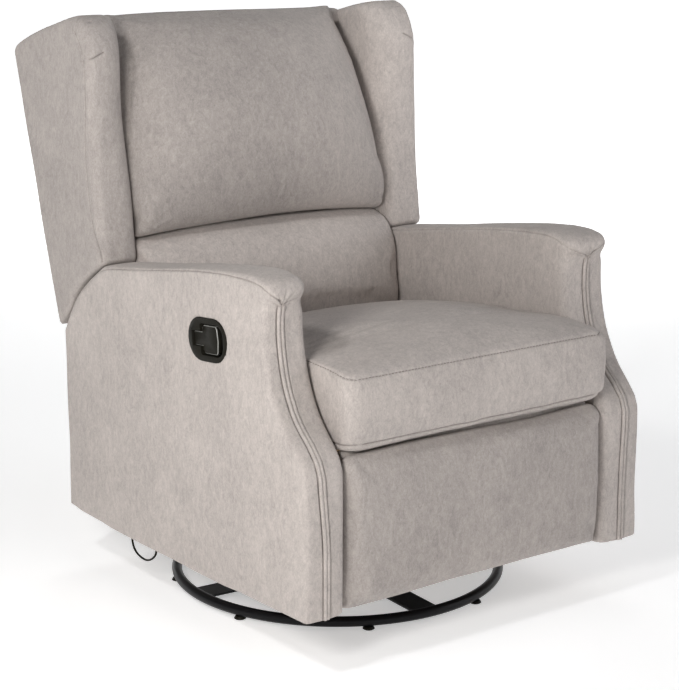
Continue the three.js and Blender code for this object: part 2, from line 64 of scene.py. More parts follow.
arm_low, arm_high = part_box("arm_left")
ARM_IN, ARM_OUT = arm_low.x, arm_high.x
ARM_MID = (ARM_IN + ARM_OUT) / 2
UNDER_Z = arm_low.z
FRONT_Y, REAR_Y = arm_low.y, arm_high.y
wing_low, wing_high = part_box("wing_left")
WING_IN, WING_OUT = wing_low.x, wing_high.x
SEAT_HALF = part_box("seat_cushion")[1].x
pad_low, pad_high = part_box("footrest_pad")
VOXEL = 0.005


def mm(*pairs):
    """Points given in millimetres, as an array in metres."""
    return np.array(pairs, float) / 1000


# ---- Curves ----


def smooth_line(points, step=0.004):
    """A Catmull-Rom curve through the points, sampled about every step."""
    p = np.asarray(points, float)
    p = np.vstack([2 * p[0] - p[1], p, 2 * p[-1] - p[-2]])
    out = []
    for i in range(1, len(p) - 2):
        a, b, c, d = p[i - 1 : i + 3]
        count = max(2, int(np.linalg.norm(c - b) / step))
        t = np.linspace(0, 1, count, endpoint=False)[:, None]
        cubic = 2 * b + (c - a) * t + (2 * a - 5 * b + 4 * c - d) * t**2
        out.append((cubic + (3 * b - 3 * c + d - a) * t**3) / 2)
    return np.vstack(out + [p[-2:-1]])


def across(x, yz):
    """Points of a side outline, (y, z), put at one x."""
    yz = np.asarray(yz)
    return np.column_stack([np.full(len(yz), x), yz])


# ---- Meshes ----


def make(name, verts, faces):
    mesh = bpy.data.meshes.new(name)
    mesh.from_pydata([tuple(v) for v in verts], [], [tuple(f) for f in faces])
    mesh.update()
    obj = bpy.data.objects.new(name, mesh)
    bpy.context.scene.collection.objects.link(obj)
    return obj


def coords(obj):
    co = np.empty(len(obj.data.vertices) * 3)
    obj.data.vertices.foreach_get("co", co)
    return co.reshape(-1, 3)


def set_coords(obj, co):
    obj.data.vertices.foreach_set("co", np.ascontiguousarray(co, float).ravel())
    obj.data.update()


def normals(obj):
    n = np.empty(len(obj.data.vertices) * 3)
    obj.data.vertex_normals.foreach_get("vector", n)
    return n.reshape(-1, 3)


def loft(name, rings):
    """A closed solid through rings of points that all have the same count."""
    count = len(rings[0])
    verts = np.vstack(rings)
    faces = []
    for i in range(len(rings) - 1):
        for j in range(count):
            k = (j + 1) % count
            faces.append((i * count + j, i * count + k, (i + 1) * count + k, (i + 1) * count + j))
    last = (len(rings) - 1) * count
    faces.append(tuple(reversed(range(count))))
    faces.append(tuple(range(last, last + count)))
    obj = make(name, verts, faces)
    turn_outwards(obj)
    return obj


def turn_outwards(obj):
    bm = bmesh.new()
    bm.from_mesh(obj.data)
    bmesh.ops.recalc_face_normals(bm, faces=bm.faces)
    bm.to_mesh(obj.data)
    bm.free()


def apply_modifiers(obj):
    graph = bpy.context.evaluated_depsgraph_get()
    mesh = bpy.data.meshes.new_from_object(obj.evaluated_get(graph))
    old = obj.data
    obj.modifiers.clear()
    obj.data = mesh
    bpy.data.meshes.remove(old)


def remesh(obj, size=VOXEL):
    modifier = obj.modifiers.new("Remesh", "REMESH")
    modifier.mode = "VOXEL"
    modifier.voxel_size = size
    apply_modifiers(obj)


def relax(obj, steps):
    """Rounds the edges by moving each point half way to the middle of its neighbours."""
    edges = np.empty(len(obj.data.edges) * 2, int)
    obj.data.edges.foreach_get("vertices", edges)
    a, b = edges.reshape(-1, 2).T
    co = coords(obj)
    count = len(co)
    degree = np.bincount(a, minlength=count) + np.bincount(b, minlength=count)
    for _ in range(steps):
        mean = np.empty_like(co)
        for k in range(3):
            total = np.bincount(a, co[b, k], count) + np.bincount(b, co[a, k], count)
            mean[:, k] = total / degree
        co += 0.5 * (mean - co)
    set_coords(obj, co)


def distance_to(co, path, limit=0.02):
    """Each point's distance to the path's nearest point; beyond the limit it is only roughly right."""
    coarse = path[::6]
    best = np.empty(len(co))
    for i in range(0, len(co), 8000):
        best[i : i + 8000] = np.sqrt(((co[i : i + 8000, None] - coarse[None]) ** 2).sum(2).min(1))
    near = np.nonzero(best < limit + 0.008)[0]
    for i in range(0, len(near), 4000):
        part = near[i : i + 4000]
        best[part] = np.sqrt(((co[part, None] - path[None]) ** 2).sum(2).min(1))
    return best


def dense(path, step=0.0009):
    """The same path with points about every step."""
    run = np.concatenate([[0], np.cumsum(np.linalg.norm(np.diff(path, axis=0), axis=1))])
    places = np.linspace(0, run[-1], max(2, int(run[-1] / step)))
    return np.column_stack([np.interp(places, run, path[:, k]) for k in range(3)])


def eased(path, rounds=6):
    """The path with small kinks averaged out, its ends kept."""
    path = path.copy()
    for _ in range(rounds):
        path[1:-1] = (path[:-2] + 2 * path[1:-1] + path[2:]) / 4
    return path


def on_surface(obj, path, lift=0.0):
    """The path's points moved to the nearest place on the object, then outwards by lift."""
    graph = bpy.context.evaluated_depsgraph_get()
    tree = BVHTree.FromObject(obj, graph)
    out = []
    for point in path:
        place, normal, _, _ = tree.find_nearest(Vector(point))
        out.append(np.array(place) + lift * np.array(normal))
    return np.array(out)


def refine(obj, path, reach):
    """Splits the faces near the path, so that a narrow seam has points to sink."""
    near = distance_to(coords(obj), path) < reach
    bm = bmesh.new()
    bm.from_mesh(obj.data)
    bm.verts.ensure_lookup_table()
    edges = [e for e in bm.edges if near[e.verts[0].index] and near[e.verts[1].index]]
    bmesh.ops.subdivide_edges(bm, edges=edges, cuts=1, use_grid_fill=True)
    bm.to_mesh(obj.data)
    bm.free()


def seam(obj, path, depth=0.003, width=0.003, pillow=0.0, reach=0.012, shade=1.0):
    """Sinks a seam along the path; pillow lifts the cloth beside it, and shade sets how strongly painted
    shade darkens its bottom.
    """
    path = dense(eased(on_surface(obj, path)))
    refine(obj, path, reach)
    refine(obj, path, reach * 0.55)
    co = coords(obj)
    d = distance_to(co, path)
    sink = depth * np.exp(-((d / width) ** 2))
    lift = pillow * (d / reach) * np.exp(0.5 - 0.5 * (d / reach * 1.6) ** 2)
    set_coords(obj, co + (lift - sink)[:, None] * normals(obj))
    # Painted shade: this attribute darkens the colour along the seam's bottom, standing in for the shadow
    # in the groove.
    layer = obj.data.attributes.get("groove_shade") or obj.data.attributes.new("groove_shade", "FLOAT", "POINT")
    dark = np.zeros(len(co), np.float32)
    layer.data.foreach_get("value", dark)
    dark = np.maximum(dark, shade * np.exp(-((d / (0.8 * width)) ** 2)))
    layer.data.foreach_set("value", dark.astype(np.float32))
    return path


def undulate(obj, amount, scale, seed):
    """A soft, slow unevenness, as stuffed cloth has."""
    co = coords(obj)
    shift = Vector((seed * 7.3, seed * 3.1, seed * 5.7))
    wave = np.array([noise.noise(Vector(p) * scale + shift) for p in co])
    set_coords(obj, co + (amount * wave)[:, None] * normals(obj))


def inflate(obj, pinned=(), pressure=4.0, cap=0.008, frames=20):
    """Cloth simulation under pressure with the seams held, and no point moving over cap."""
    start = coords(obj)
    group = obj.vertex_groups.new(name="held")
    hold = np.zeros(len(start))
    for path, reach in pinned:
        d = distance_to(start, path)
        hold = np.maximum(hold, np.clip(1.6 - d / reach, 0, 1))
    for i in np.nonzero(hold > 0)[0]:
        group.add([int(i)], float(hold[i]), "REPLACE")
    cloth = obj.modifiers.new("Cloth", "CLOTH")
    settings = cloth.settings
    settings.quality = 4
    settings.mass = 0.3
    settings.use_pressure = True
    settings.uniform_pressure_force = pressure
    settings.effector_weights.gravity = 0
    settings.tension_stiffness = 12
    settings.compression_stiffness = 12
    settings.bending_stiffness = 0.4
    settings.vertex_group_mass = "held"
    cloth.point_cache.frame_start = 1
    cloth.point_cache.frame_end = frames
    scene = bpy.context.scene
    for f in range(1, frames + 1):
        scene.frame_set(f)
    graph = bpy.context.evaluated_depsgraph_get()
    moved = bpy.data.meshes.new_from_object(obj.evaluated_get(graph))
    end = np.empty(len(moved.vertices) * 3)
    moved.vertices.foreach_get("co", end)
    bpy.data.meshes.remove(moved)
    obj.modifiers.clear()
    obj.vertex_groups.clear()
    scene.frame_set(1)
    move = end.reshape(-1, 3) - start
    length = np.linalg.norm(move, axis=1, keepdims=True)
    set_coords(obj, start + move * np.minimum(1, cap / np.maximum(length, 1e-9)))


def tube(name, path, radius, sides=10):
    """A round cord along the path, with closed ends."""
    path = np.asarray(path, float)
    ahead = np.gradient(path, axis=0)
    ahead /= np.linalg.norm(ahead, axis=1, keepdims=True)
    side = np.cross(ahead[0], [0.3, 0.2, 0.93])
    rings = []
    for point, way in zip(path, ahead):
        side = side - way * side.dot(way)
        side /= np.linalg.norm(side)
        up = np.cross(way, side)
        angles = np.linspace(0, 2 * math.pi, sides, endpoint=False)[:, None]
        rings.append(point + radius * (np.cos(angles) * side + np.sin(angles) * up))
    return loft(name, rings)


def resample_closed(outline, step=0.006):
    closed = np.vstack([outline, outline[:1]])
    run = np.concatenate([[0], np.cumsum(np.linalg.norm(np.diff(closed, axis=0), axis=1))])
    places = np.arange(0, run[-1] - step / 2, step)
    return np.column_stack([np.interp(places, run, closed[:, k]) for k in range(2)])


def outward(outline, spread=2):
    """Outward normals of a closed side outline, averaged over a few neighbours."""
    along = np.roll(outline, -1, axis=0) - np.roll(outline, 1, axis=0)
    n = np.column_stack([along[:, 1], -along[:, 0]])
    y, z = outline.T
    if (y * np.roll(z, -1) - z * np.roll(y, -1)).sum() < 0:
        n = -n
    n = sum(np.roll(n, k, axis=0) for k in range(-spread, spread + 1))
    return n / np.linalg.norm(n, axis=1, keepdims=True)


def slab(name, x_ends, outline, rounding):
    """An upholstered panel of that side outline between two x places, with rounded borders.

    rounding is a pair of functions, one for each x place. From the outline's points and normals it gives
    how far in from that place the rounding starts, and how far each point has drawn in, (y, z), at its
    end."""
    outline = resample_closed(outline)
    n = outward(outline)
    first, last = [rule(outline, n) for rule in rounding]
    span = abs(x_ends[1] - x_ends[0])
    turn = 1 - np.cos(np.linspace(0, math.pi / 2, 10))
    near, far = turn * first[0].max(), span - turn[::-1] * last[0].max()
    rings = []
    for d in np.unique(np.concatenate([near, np.linspace(near[-1], far[0], 4), far]).round(6)):
        moved = outline.copy()
        for (reach, draw), depth in ((first, d), (last, span - d)):
            over = np.clip(1 - depth / reach, 0, 1)
            moved += draw * (1 - np.sqrt(1 - over**2))[:, None]
        rings.append(across(x_ends[0] + (x_ends[1] - x_ends[0]) * d / span, moved))
    return loft(name, rings)


def eased_step(t):
    t = np.clip(t, 0, 1)
    return t * t * (3 - 2 * t)


def join(name, objs):
    """One piece made of several."""
    bm = bmesh.new()
    for o in objs:
        bm.from_mesh(o.data)
        bpy.data.objects.remove(o)
    mesh = bpy.data.meshes.new(name)
    bm.to_mesh(mesh)
    bm.free()
    obj = bpy.data.objects.new(name, mesh)
    bpy.context.scene.collection.objects.link(obj)
    return obj


def paint_light_and_shade(obj, tone):
    """Painted light and shade: tone is added to a lightness of 1, at each point, making the piece lighter
    or darker where the lamps light it differently.
    """
    values = np.broadcast_to(tone, len(obj.data.vertices)).astype(np.float32)
    obj.data.attributes.new("painted_light_and_shade", "FLOAT", "POINT").data.foreach_set("value", values)


def finish_piece(obj, material, body, replaces=()):
    obj.data.materials.clear()
    obj.data.materials.append(material)
    obj.data.polygons.foreach_set("use_smooth", [True] * len(obj.data.polygons))
    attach(obj, body)
    if replaces:
        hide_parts(*replaces)


# ---- Materials ----


class Nodes:
    """A short way to write a material's nodes."""

    def __init__(self, name, **values):
        self.material = bpy.data.materials.new(name)
        self.material.use_nodes = True
        self.tree = self.material.node_tree
        self.shader = self.tree.nodes["Principled BSDF"]
        for key, value in values.items():
            self.shader.inputs[key.replace("_", " ")].default_value = value
        self.place = self.tree.nodes.new("ShaderNodeTexCoord").outputs["Object"]

    def stretched(self, scale):
        node = self.tree.nodes.new("ShaderNodeMapping")
        node.inputs["Scale"].default_value = scale
        self.tree.links.new(self.place, node.inputs["Vector"])
        return node.outputs["Vector"]

    def noise(self, scale, detail=3.0, rough=0.55, distortion=0.0, place=None):
        node = self.tree.nodes.new("ShaderNodeTexNoise")
        node.inputs["Scale"].default_value = scale
        node.inputs["Detail"].default_value = detail
        node.inputs["Roughness"].default_value = rough
        node.inputs["Distortion"].default_value = distortion
        self.tree.links.new(place or self.place, node.inputs["Vector"])
        return node.outputs["Fac"]

    def ramp(self, value, low, high, start=0.0, end=1.0):
        node = self.tree.nodes.new("ShaderNodeMapRange")
        for key, number in (("From Min", start), ("From Max", end), ("To Min", low), ("To Max", high)):
            node.inputs[key].default_value = number
        self.tree.links.new(value, node.inputs["Value"])
        return node.outputs["Result"]

    def math(self, operation, a, b):
        node = self.tree.nodes.new("ShaderNodeMath")
        node.operation = operation
        for socket, value in zip(node.inputs, (a, b)):
            if isinstance(value, (int, float)):
                socket.default_value = value
            else:
                self.tree.links.new(value, socket)
        return node.outputs[0]

    def mix(self, fac, a, b):
        node = self.tree.nodes.new("ShaderNodeMix")
        node.data_type = "RGBA"
        for socket, value in ((node.inputs[0], fac), (node.inputs[6], a), (node.inputs[7], b)):
            if isinstance(value, bpy.types.NodeSocket):
                self.tree.links.new(value, socket)
            else:
                socket.default_value = value
        return node.outputs[2]

    def scaled(self, colour, factor):
        node = self.tree.nodes.new("ShaderNodeVectorMath")
        node.operation = "SCALE"
        self.tree.links.new(colour, node.inputs[0])
        self.tree.links.new(factor, node.inputs["Scale"])
        return node.outputs["Vector"]

    def bump(self, height, distance, strength=1.0, below=None):
        node = self.tree.nodes.new("ShaderNodeBump")
        node.inputs["Distance"].default_value = distance
        node.inputs["Strength"].default_value = strength
        self.tree.links.new(height, node.inputs["Height"])
        if below:
            self.tree.links.new(below, node.inputs["Normal"])
        return node.outputs["Normal"]

    def feed(self, key, value):
        self.tree.links.new(value, self.shader.inputs[key])


SUEDE_LIGHT = (0.590, 0.533, 0.496, 1)
SUEDE_DARK = (0.285, 0.257, 0.245, 1)


def suede():
    """Brushed microfibre: cloudy tone, short streaks, and a fine fuzz; painted shade darkens its seams,
    and a painted light-and-shade value makes each piece lighter or darker.
    """
    n = Nodes("greige_suede", Roughness=0.92)
    n.shader.inputs["Specular IOR Level"].default_value = 0.18
    n.shader.inputs["Sheen Weight"].default_value = 0.2
    n.shader.inputs["Sheen Roughness"].default_value = 0.5
    n.shader.inputs["Sheen Tint"].default_value = (0.95, 0.90, 0.86, 1)
    cloud = n.noise(7, 3, 0.6, 0.6)
    streak = n.noise(42, 5, 0.7, 1.6, n.stretched((1.5, 1.5, 0.7)))
    mottle = n.noise(130, 4, 0.75, 1.0, n.stretched((1.2, 1.2, 0.75)))
    fleck = n.noise(420, 3, 0.7, 0.5, n.stretched((1.3, 1.3, 0.8)))
    fuzz = n.noise(1200, 2, 0.6)
    tone = n.math("ADD", n.ramp(cloud, -0.18, 0.18, 0.3, 0.7), n.ramp(streak, -0.34, 0.34, 0.3, 0.7))
    tone = n.math("ADD", tone, n.ramp(mottle, -0.30, 0.30, 0.3, 0.7))
    tone = n.math("ADD", tone, n.ramp(fleck, -0.30, 0.30, 0.3, 0.7))
    tone = n.math("ADD", tone, n.ramp(fuzz, -0.15, 0.15, 0.3, 0.7))
    cloth = n.mix(n.ramp(tone, 0.0, 1.0, -0.9, 0.9), SUEDE_DARK, SUEDE_LIGHT)
    # Painted light and shade: the colour is scaled by each point's added lightness.
    painted_light_and_shade = n.tree.nodes.new("ShaderNodeAttribute")
    painted_light_and_shade.attribute_name = "painted_light_and_shade"
    cloth = n.scaled(cloth, n.math("ADD", painted_light_and_shade.outputs["Fac"], 1.0))
    # Painted shade: the colour is mixed towards near black along the seams' bottoms.
    groove_shade = n.tree.nodes.new("ShaderNodeAttribute")
    groove_shade.attribute_name = "groove_shade"
    dark = n.ramp(groove_shade.outputs["Fac"], 0.0, 0.72)
    n.feed("Base Color", n.mix(dark, cloth, (0.045, 0.035, 0.033, 1)))
    n.feed("Roughness", n.ramp(streak, 0.86, 0.98))
    soft = n.bump(mottle, 0.0014, 0.4)
    n.feed("Normal", n.bump(fuzz, 0.0006, 0.5, soft))
    return n.material


def dark_thread():
    n = Nodes("seam_thread", Roughness=0.8)
    twist = n.noise(900, 2, 0.5)
    n.feed("Base Color", n.mix(twist, (0.16, 0.14, 0.13, 1), (0.28, 0.25, 0.23, 1)))
    n.feed("Normal", n.bump(twist, 0.0004, 0.5))
    return n.material


def powder_coat():
    n = Nodes("black_powder_coat", Metallic=0.0, Roughness=0.36)
    n.shader.inputs["Specular IOR Level"].default_value = 0.16
    peel = n.noise(420, 2, 0.5)
    wear = n.noise(9, 4, 0.6)
    n.feed("Base Color", n.mix(wear, (0.0035, 0.0035, 0.0045, 1), (0.008, 0.008, 0.009, 1)))
    n.feed("Roughness", n.ramp(wear, 0.28, 0.44))
    n.feed("Normal", n.bump(peel, 0.0004, 0.35))
    return n.material


def zinc():
    n = Nodes("zinc_plate", Metallic=0.9, Roughness=0.4)
    grain = n.noise(300, 4, 0.7, 0.0, n.stretched((1, 0.15, 1)))
    blotch = n.noise(30, 3, 0.6)
    n.feed("Base Color", n.mix(blotch, (0.36, 0.37, 0.38, 1), (0.55, 0.56, 0.57, 1)))
    n.feed("Roughness", n.ramp(grain, 0.3, 0.5))
    n.feed("Normal", n.bump(grain, 0.0003, 0.3))
    return n.material


def moulded_plastic():
    n = Nodes("black_plastic", Roughness=0.3)
    n.shader.inputs["Specular IOR Level"].default_value = 0.05
    grain = n.noise(1500, 2, 0.5)
    cloud = n.noise(25, 3, 0.5)
    n.feed("Base Color", n.mix(cloud, (0.010, 0.010, 0.008, 1), (0.018, 0.016, 0.012, 1)))
    n.feed("Roughness", n.ramp(cloud, 0.24, 0.36))
    n.feed("Normal", n.bump(grain, 0.0002, 0.3))
    return n.material


def plywood():
    n = Nodes("plywood", Roughness=0.7)
    grain = n.noise(60, 5, 0.65, 1.2, n.stretched((0.2, 1, 3)))
    n.feed("Base Color", n.mix(grain, (0.36, 0.23, 0.12, 1), (0.62, 0.44, 0.26, 1)))
    n.feed("Roughness", n.ramp(grain, 0.6, 0.8))
    n.feed("Normal", n.bump(grain, 0.0005, 0.4))
    return n.material


SUEDE = suede()
THREAD = dark_thread()
MATERIALS = {
    "fabric": SUEDE,
    "black_steel": powder_coat(),
    "zinc_steel": zinc(),
    "black_plastic": moulded_plastic(),
    "wood": plywood(),
}


def dress_cad_nodes():
    for row in frame["record"]["subparts"]:
        obj = frame["nodes"][row["node"]]
        obj.data.materials.clear()
        obj.data.materials.append(MATERIALS[row["material_slot"]])


def painted_edge_highlight():
    """Painted highlight: a grey shine on the plastic's edges, standing in for lamp light caught on them.
    """
    n = Nodes("edge_highlight", Roughness=0.3)
    highlight_mottle = n.noise(160, 3, 0.6)
    n.feed("Base Color", n.mix(highlight_mottle, (0.16, 0.16, 0.15, 1), (0.34, 0.34, 0.32, 1)))
    n.feed("Roughness", n.ramp(highlight_mottle, 0.25, 0.4))
    return n.material


def moulded(node, body, width, highlight=None):
    """A plastic part with its edges rounded by that width, and a painted highlight on the rounded edges
    where a material is given.
    """
    source = frame["nodes"][node]
    mesh = source.data.copy()
    mesh.transform(source.matrix_world)
    bm = bmesh.new()
    bm.from_mesh(mesh)
    bmesh.ops.remove_doubles(bm, verts=bm.verts, dist=1e-5)
    bmesh.ops.dissolve_limit(bm, angle_limit=math.radians(1), verts=bm.verts, edges=bm.edges)
    bm.to_mesh(mesh)
    bm.free()
    obj = bpy.data.objects.new(f"{node}_moulding", mesh)
    bpy.context.scene.collection.objects.link(obj)
    finish_piece(obj, MATERIALS["black_plastic"], body, [node])
    bevel = obj.modifiers.new("edges", "BEVEL")
    bevel.width = width
    bevel.segments = 3
    bevel.limit_method = "ANGLE"
    bevel.angle_limit = math.radians(40)
    # The bevel's faces take the painted highlight material.
    if highlight:
        obj.data.materials.append(highlight)
        bevel.material = 1
    apply_modifiers(obj)


# ---- Arms ----

ARM_TOP_REAR = mm((307.5, 447), (290.5, 474), (255.5, 520), (212.5, 556), (155.5, 592))
ARM_TOP = mm((155.5, 592), (56.5, 605), (-60, 623), (-156.5, 638), (-240, 648), (-310, 652), (-340, 650))
ARM_NOSE = mm((-340, 650), (-357, 645), (-366, 633), (-363, 620), (-353, 609))
ARM_FACE = mm(
    (-353, 609), (-350, 585), (-351, 542), (-361, 490), (-381, 446), (-404, 416), (-432, 391), (-453, 368)
)
ARM_SHIN = mm((-461, 346), (-461.5, 250), (-461, 103.5))
ARM_UNDER = mm((-300, 101), (-120, 96), (60, 96), (220, 101), (307.5, 106))
ARM_PROUD = {"left": 0.002, "right": 0.0005}  # how far the cloth stands out of the CAD arm's outer side
PAD_SEAM = mm(
    (300, 455), (255.5, 513), (212.5, 549), (155.5, 585), (56.5, 603),
    (-4, 614), (-100, 628), (-208, 640), (-300, 644),
)
PAD_SEAM_NOSE_Z = 0.609
WELT_X = 0.3355
WELT_HALF = 0.0034
WELT_RADIUS = 0.0034
WELT_SHIFT = {"left": 0.003, "right": 0.0095}  # how far the welt has moved inwards at the arm's foot


def arm_outline():
    parts = [
        smooth_line(ARM_TOP_REAR, 0.01),
        smooth_line(ARM_TOP, 0.02)[1:],
        smooth_line(ARM_NOSE, 0.004)[1:],
        smooth_line(ARM_FACE, 0.01)[1:],
        ARM_SHIN,
        ARM_UNDER,
    ]
    return np.vstack(parts)


def arm_rounding(points, n, nose, face, shin):
    """The arm's front end is rounded in plan: most at the pad's nose, and least on the face under it."""
    low = eased_step((0.46 - points[:, 1]) / 0.1)
    high = eased_step((points[:, 1] - 0.585) / 0.03)
    front = eased_step((-0.265 - points[:, 0]) / 0.085)
    reach = 0.008 + front * (face + (shin - face) * low + (nose - face) * high - 0.008)
    back = front * reach * 0.95 - 0.006 * np.clip(n[:, 0], 0, 1) ** 2
    down = -0.007 * np.clip(n[:, 1], 0, 1) ** 2 + 0.002 * np.clip(-n[:, 1], 0, 1) ** 2
    return reach, np.column_stack([back, down])


def arm_inner_rounding(points, n):
    return arm_rounding(points, n, 0.032, 0.014, 0.018)


def arm_outer_rounding(points, n):
    shin = 0.004 + 0.006 * eased_step((points[:, 1] - 0.1) / 0.12)
    return arm_rounding(points, n, 0.020, 0.008, shin)


def arm_crown(obj, side):
    """The pad on top is fuller along its middle, and the panels swell a little."""
    co = coords(obj)
    n = normals(obj)
    half = (ARM_OUT - ARM_IN) / 2
    u = np.clip(np.abs(co[:, 0] - side * ARM_MID) / half, 0, 1)
    top = np.clip(n[:, 2], 0, 1) * (co[:, 2] > 0.44)
    crown = 0.0015 * (1 - u**2) * top
    inside = np.clip((co[:, 2] - UNDER_Z) / 0.09, 0, 1) * np.clip((0.62 - co[:, 2]) / 0.12, 0, 1)
    inside *= np.clip((co[:, 1] - FRONT_Y) / 0.1, 0, 1) * np.clip((REAR_Y - co[:, 1]) / 0.1, 0, 1)
    swell = 0.003 * inside * np.abs(n[:, 0])
    set_coords(obj, co + (crown + swell)[:, None] * n)


def splay(obj):
    """The left arm leans out a little towards its front, and more so at the height of its pad."""
    co = coords(obj)
    u = np.clip((co[:, 0] - ARM_IN) / (ARM_OUT - ARM_IN), 0, 1)
    lean = 0.0055 + 0.006 * eased_step((co[:, 2] - 0.36) / 0.1)
    co[:, 0] += lean * u * eased_step((-0.05 - co[:, 1]) / 0.3)
    set_coords(obj, co)


def cast(obj, starts, targets):
    """Where straight lines from the starts towards the targets first meet the object."""
    tree = BVHTree.FromObject(obj, bpy.context.evaluated_depsgraph_get())
    hits = []
    for start, target in zip(starts, targets):
        way = Vector(target) - Vector(start)
        place = tree.ray_cast(Vector(start), way.normalized())[0]
        hits.append(np.array(place if place else target))
    return np.array(hits)


def arm_seams(arm, side):
    """The two seams of the arm's pad turn round its nose and meet on its face, over the double welt."""
    far = 0.2
    paths = []
    for edge, out, middle, drop in ((ARM_OUT - 0.001, 1, -0.338, 0.9), (ARM_IN + 0.001, -1, -0.322, 1.3)):
        axis = np.array([side * WELT_X, middle])
        turn = np.linspace(math.pi / 2, 0, 14)[:, None]
        height = PAD_SEAM_NOSE_Z + 0.034 * (turn / (math.pi / 2)) ** drop
        round_x = axis[0] + far * side * out * np.sin(turn)
        round_y = axis[1] - far * np.cos(turn)
        starts = np.hstack([round_x, round_y, height])
        targets = np.hstack([np.full_like(turn, axis[0]), np.full_like(turn, axis[1]), height])
        nose = cast(arm, starts, targets)
        straight = on_surface(arm, smooth_line(across(side * edge, PAD_SEAM), 0.006))
        paths.append(smooth_line(eased(np.vstack([straight, nose]), 5), 0.003))
    return paths


def gathers(obj, peak, side):
    """Short pleats that fan out from the seams' meeting point over the front of the pad."""
    refine(obj, peak[None], 0.05)
    refine(obj, peak[None], 0.04)
    co = coords(obj)
    rel = co - peak
    reach = np.linalg.norm(rel, axis=1)
    angle = np.arctan2(rel[:, 0] * side, rel[:, 2] + 0.004)
    valley = np.abs(np.cos(angle * 5.5 + 0.5 + 6 * reach)) ** 8
    ridge = np.cos(2 * (angle * 5.5 + 0.5 + 6 * reach))
    fade = np.clip(reach / 0.008, 0, 1) * np.exp(-((reach / 0.032) ** 2)) * (rel[:, 2] > 0.001)
    set_coords(obj, co - ((0.0016 * valley + 0.0006 * ridge) * fade)[:, None] * normals(obj))


def handle_pocket(obj):
    """Sinks the arm's cloth behind the handle's rim, so that the bezel's hollow stays open."""
    low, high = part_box("handle_bezel")
    middle = (low + high) / 2
    tilt = math.radians(5)
    half_length = 0.0535
    radius = 0.0325
    co = coords(obj)
    y, z = co[:, 1] - middle.y, co[:, 2] - middle.z
    u = y * math.cos(tilt) - z * math.sin(tilt)
    v = y * math.sin(tilt) + z * math.cos(tilt)
    straight = np.clip(np.abs(u) - (half_length - radius), 0, None)
    inside = (np.hypot(straight, v) < radius) & (co[:, 0] < -(ARM_OUT - 0.02))
    co[inside, 0] = high.x + 0.002
    set_coords(obj, co)


def double_welt(name, arm, side):
    """Two cords side by side down the arm's face, with a seam on each side of them whose bottom is
    darkened with painted shade.
    """
    face = np.vstack([ARM_FACE[1:], ARM_SHIN])
    face[-1, 1] = 0.104
    face = smooth_line(np.vstack([mm((-353, 606)), face]), 0.006)
    low = eased_step((0.37 - face[:, 1]) / 0.16)
    middle = across(side * WELT_X, face)
    middle[:, 0] -= side * WELT_SHIFT[name] * low
    half = (WELT_HALF * (1 - 0.12 * low))[:, None] * [1, 0, 0]
    for shift in (-2, 2):
        seam(arm, middle + shift * half, 0.0036, 0.0013, 0.0012, 0.007)
    cords = []
    for shift in (-1, 1):
        line = on_surface(arm, middle + shift * half, -0.0004)
        line = np.vstack([line[0] + [0, 0.004, 0.001], line])
        cords.append(tube("cord", line, WELT_RADIUS, 10))
    welt = join(f"{name}_arm_double_welt", cords)
    finish_piece(welt, SUEDE, "seat")


def build_arm(name, side):
    ends = [side * (ARM_IN - 0.0005), side * (ARM_OUT + ARM_PROUD[name])]
    arm = slab(f"{name}_arm", ends, arm_outline(), [arm_inner_rounding, arm_outer_rounding])
    remesh(arm)
    relax(arm, 2)
    arm_crown(arm, side)
    undulate(arm, 0.0014, 9, 1 if side > 0 else 2)
    if side > 0:
        splay(arm)
    peak = None
    for path, shade in zip(arm_seams(arm, side), (0.5, 0.25)):
        path = seam(arm, path, 0.002, 0.0013, 0.001, 0.009, shade)
        peak = path[-1]
    if side < 0:
        handle_pocket(arm)
    gathers(arm, peak, side)
    double_welt(name, arm, side)
    finish_piece(arm, SUEDE, "seat", [f"arm_{name}"])


# ---- Wings ----

WING_BOTTOM = mm((154.5, 597), (212.5, 562), (255.5, 526), (290.5, 481), (325.5, 453))
WING_TOP = mm((464, 950), (452, 968), (364, 1000), (262.5, 1026), (232, 1031))
WING_NOSE = mm((232, 1031), (206, 1017), (188, 991), (181, 962))
WING_FRONT = mm((181, 962), (177.5, 869), (171, 747), (162, 660), (154.5, 597))
WING_SEAM = mm(
    (231, 1006), (222, 997), (207, 974), (198, 950), (196, 880),
    (200, 787), (189, 690), (168, 625), (160, 600),
)
WING_DARTS = (
    ((364, 197, 953), (353, 184, 962), (338, 182, 969)),
    ((364, 224, 1000), (354, 219, 1008), (344, 217, 1010)),
)
WING_PROUD = {"left": 0.004, "right": 0.0025}  # how far the cloth stands out of the CAD wing's outer side
# Painted light on the sitter's left wing and painted shade on the right wing, as lightness added to the
# cloth's colour.
WING_LIGHT_AND_SHADE = {"left": 0.14, "right": -0.16}


def wing_outline():
    parts = [
        WING_BOTTOM[-1:],
        WING_TOP[:1],
        smooth_line(WING_TOP, 0.02)[1:],
        smooth_line(WING_NOSE, 0.006)[1:],
        smooth_line(WING_FRONT, 0.015)[1:],
        smooth_line(WING_BOTTOM, 0.01)[1:-1],
    ]
    return np.vstack(parts)


def wing_rounding(points, n, reach):
    front = eased_step(1 - (points[:, 0] - 0.175) / 0.12)
    top = np.clip(n[:, 1], 0, 1) ** 2
    spread = 0.008 + front * (reach - 0.008)
    back = front * spread * 0.95 - 0.008 * np.clip(n[:, 0], 0, 1) ** 2
    down = -top * (0.008 + 0.010 * front) - 0.62 * back * np.clip(-2 * n[:, 1], 0, 1)
    return spread, np.column_stack([back, down])


def wing_inner_rounding(points, n):
    return wing_rounding(points, n, 0.034 + 0.024 * eased_step((points[:, 1] - 0.68) / 0.22))


def wing_outer_rounding(points, n):
    return wing_rounding(points, n, 0.014)


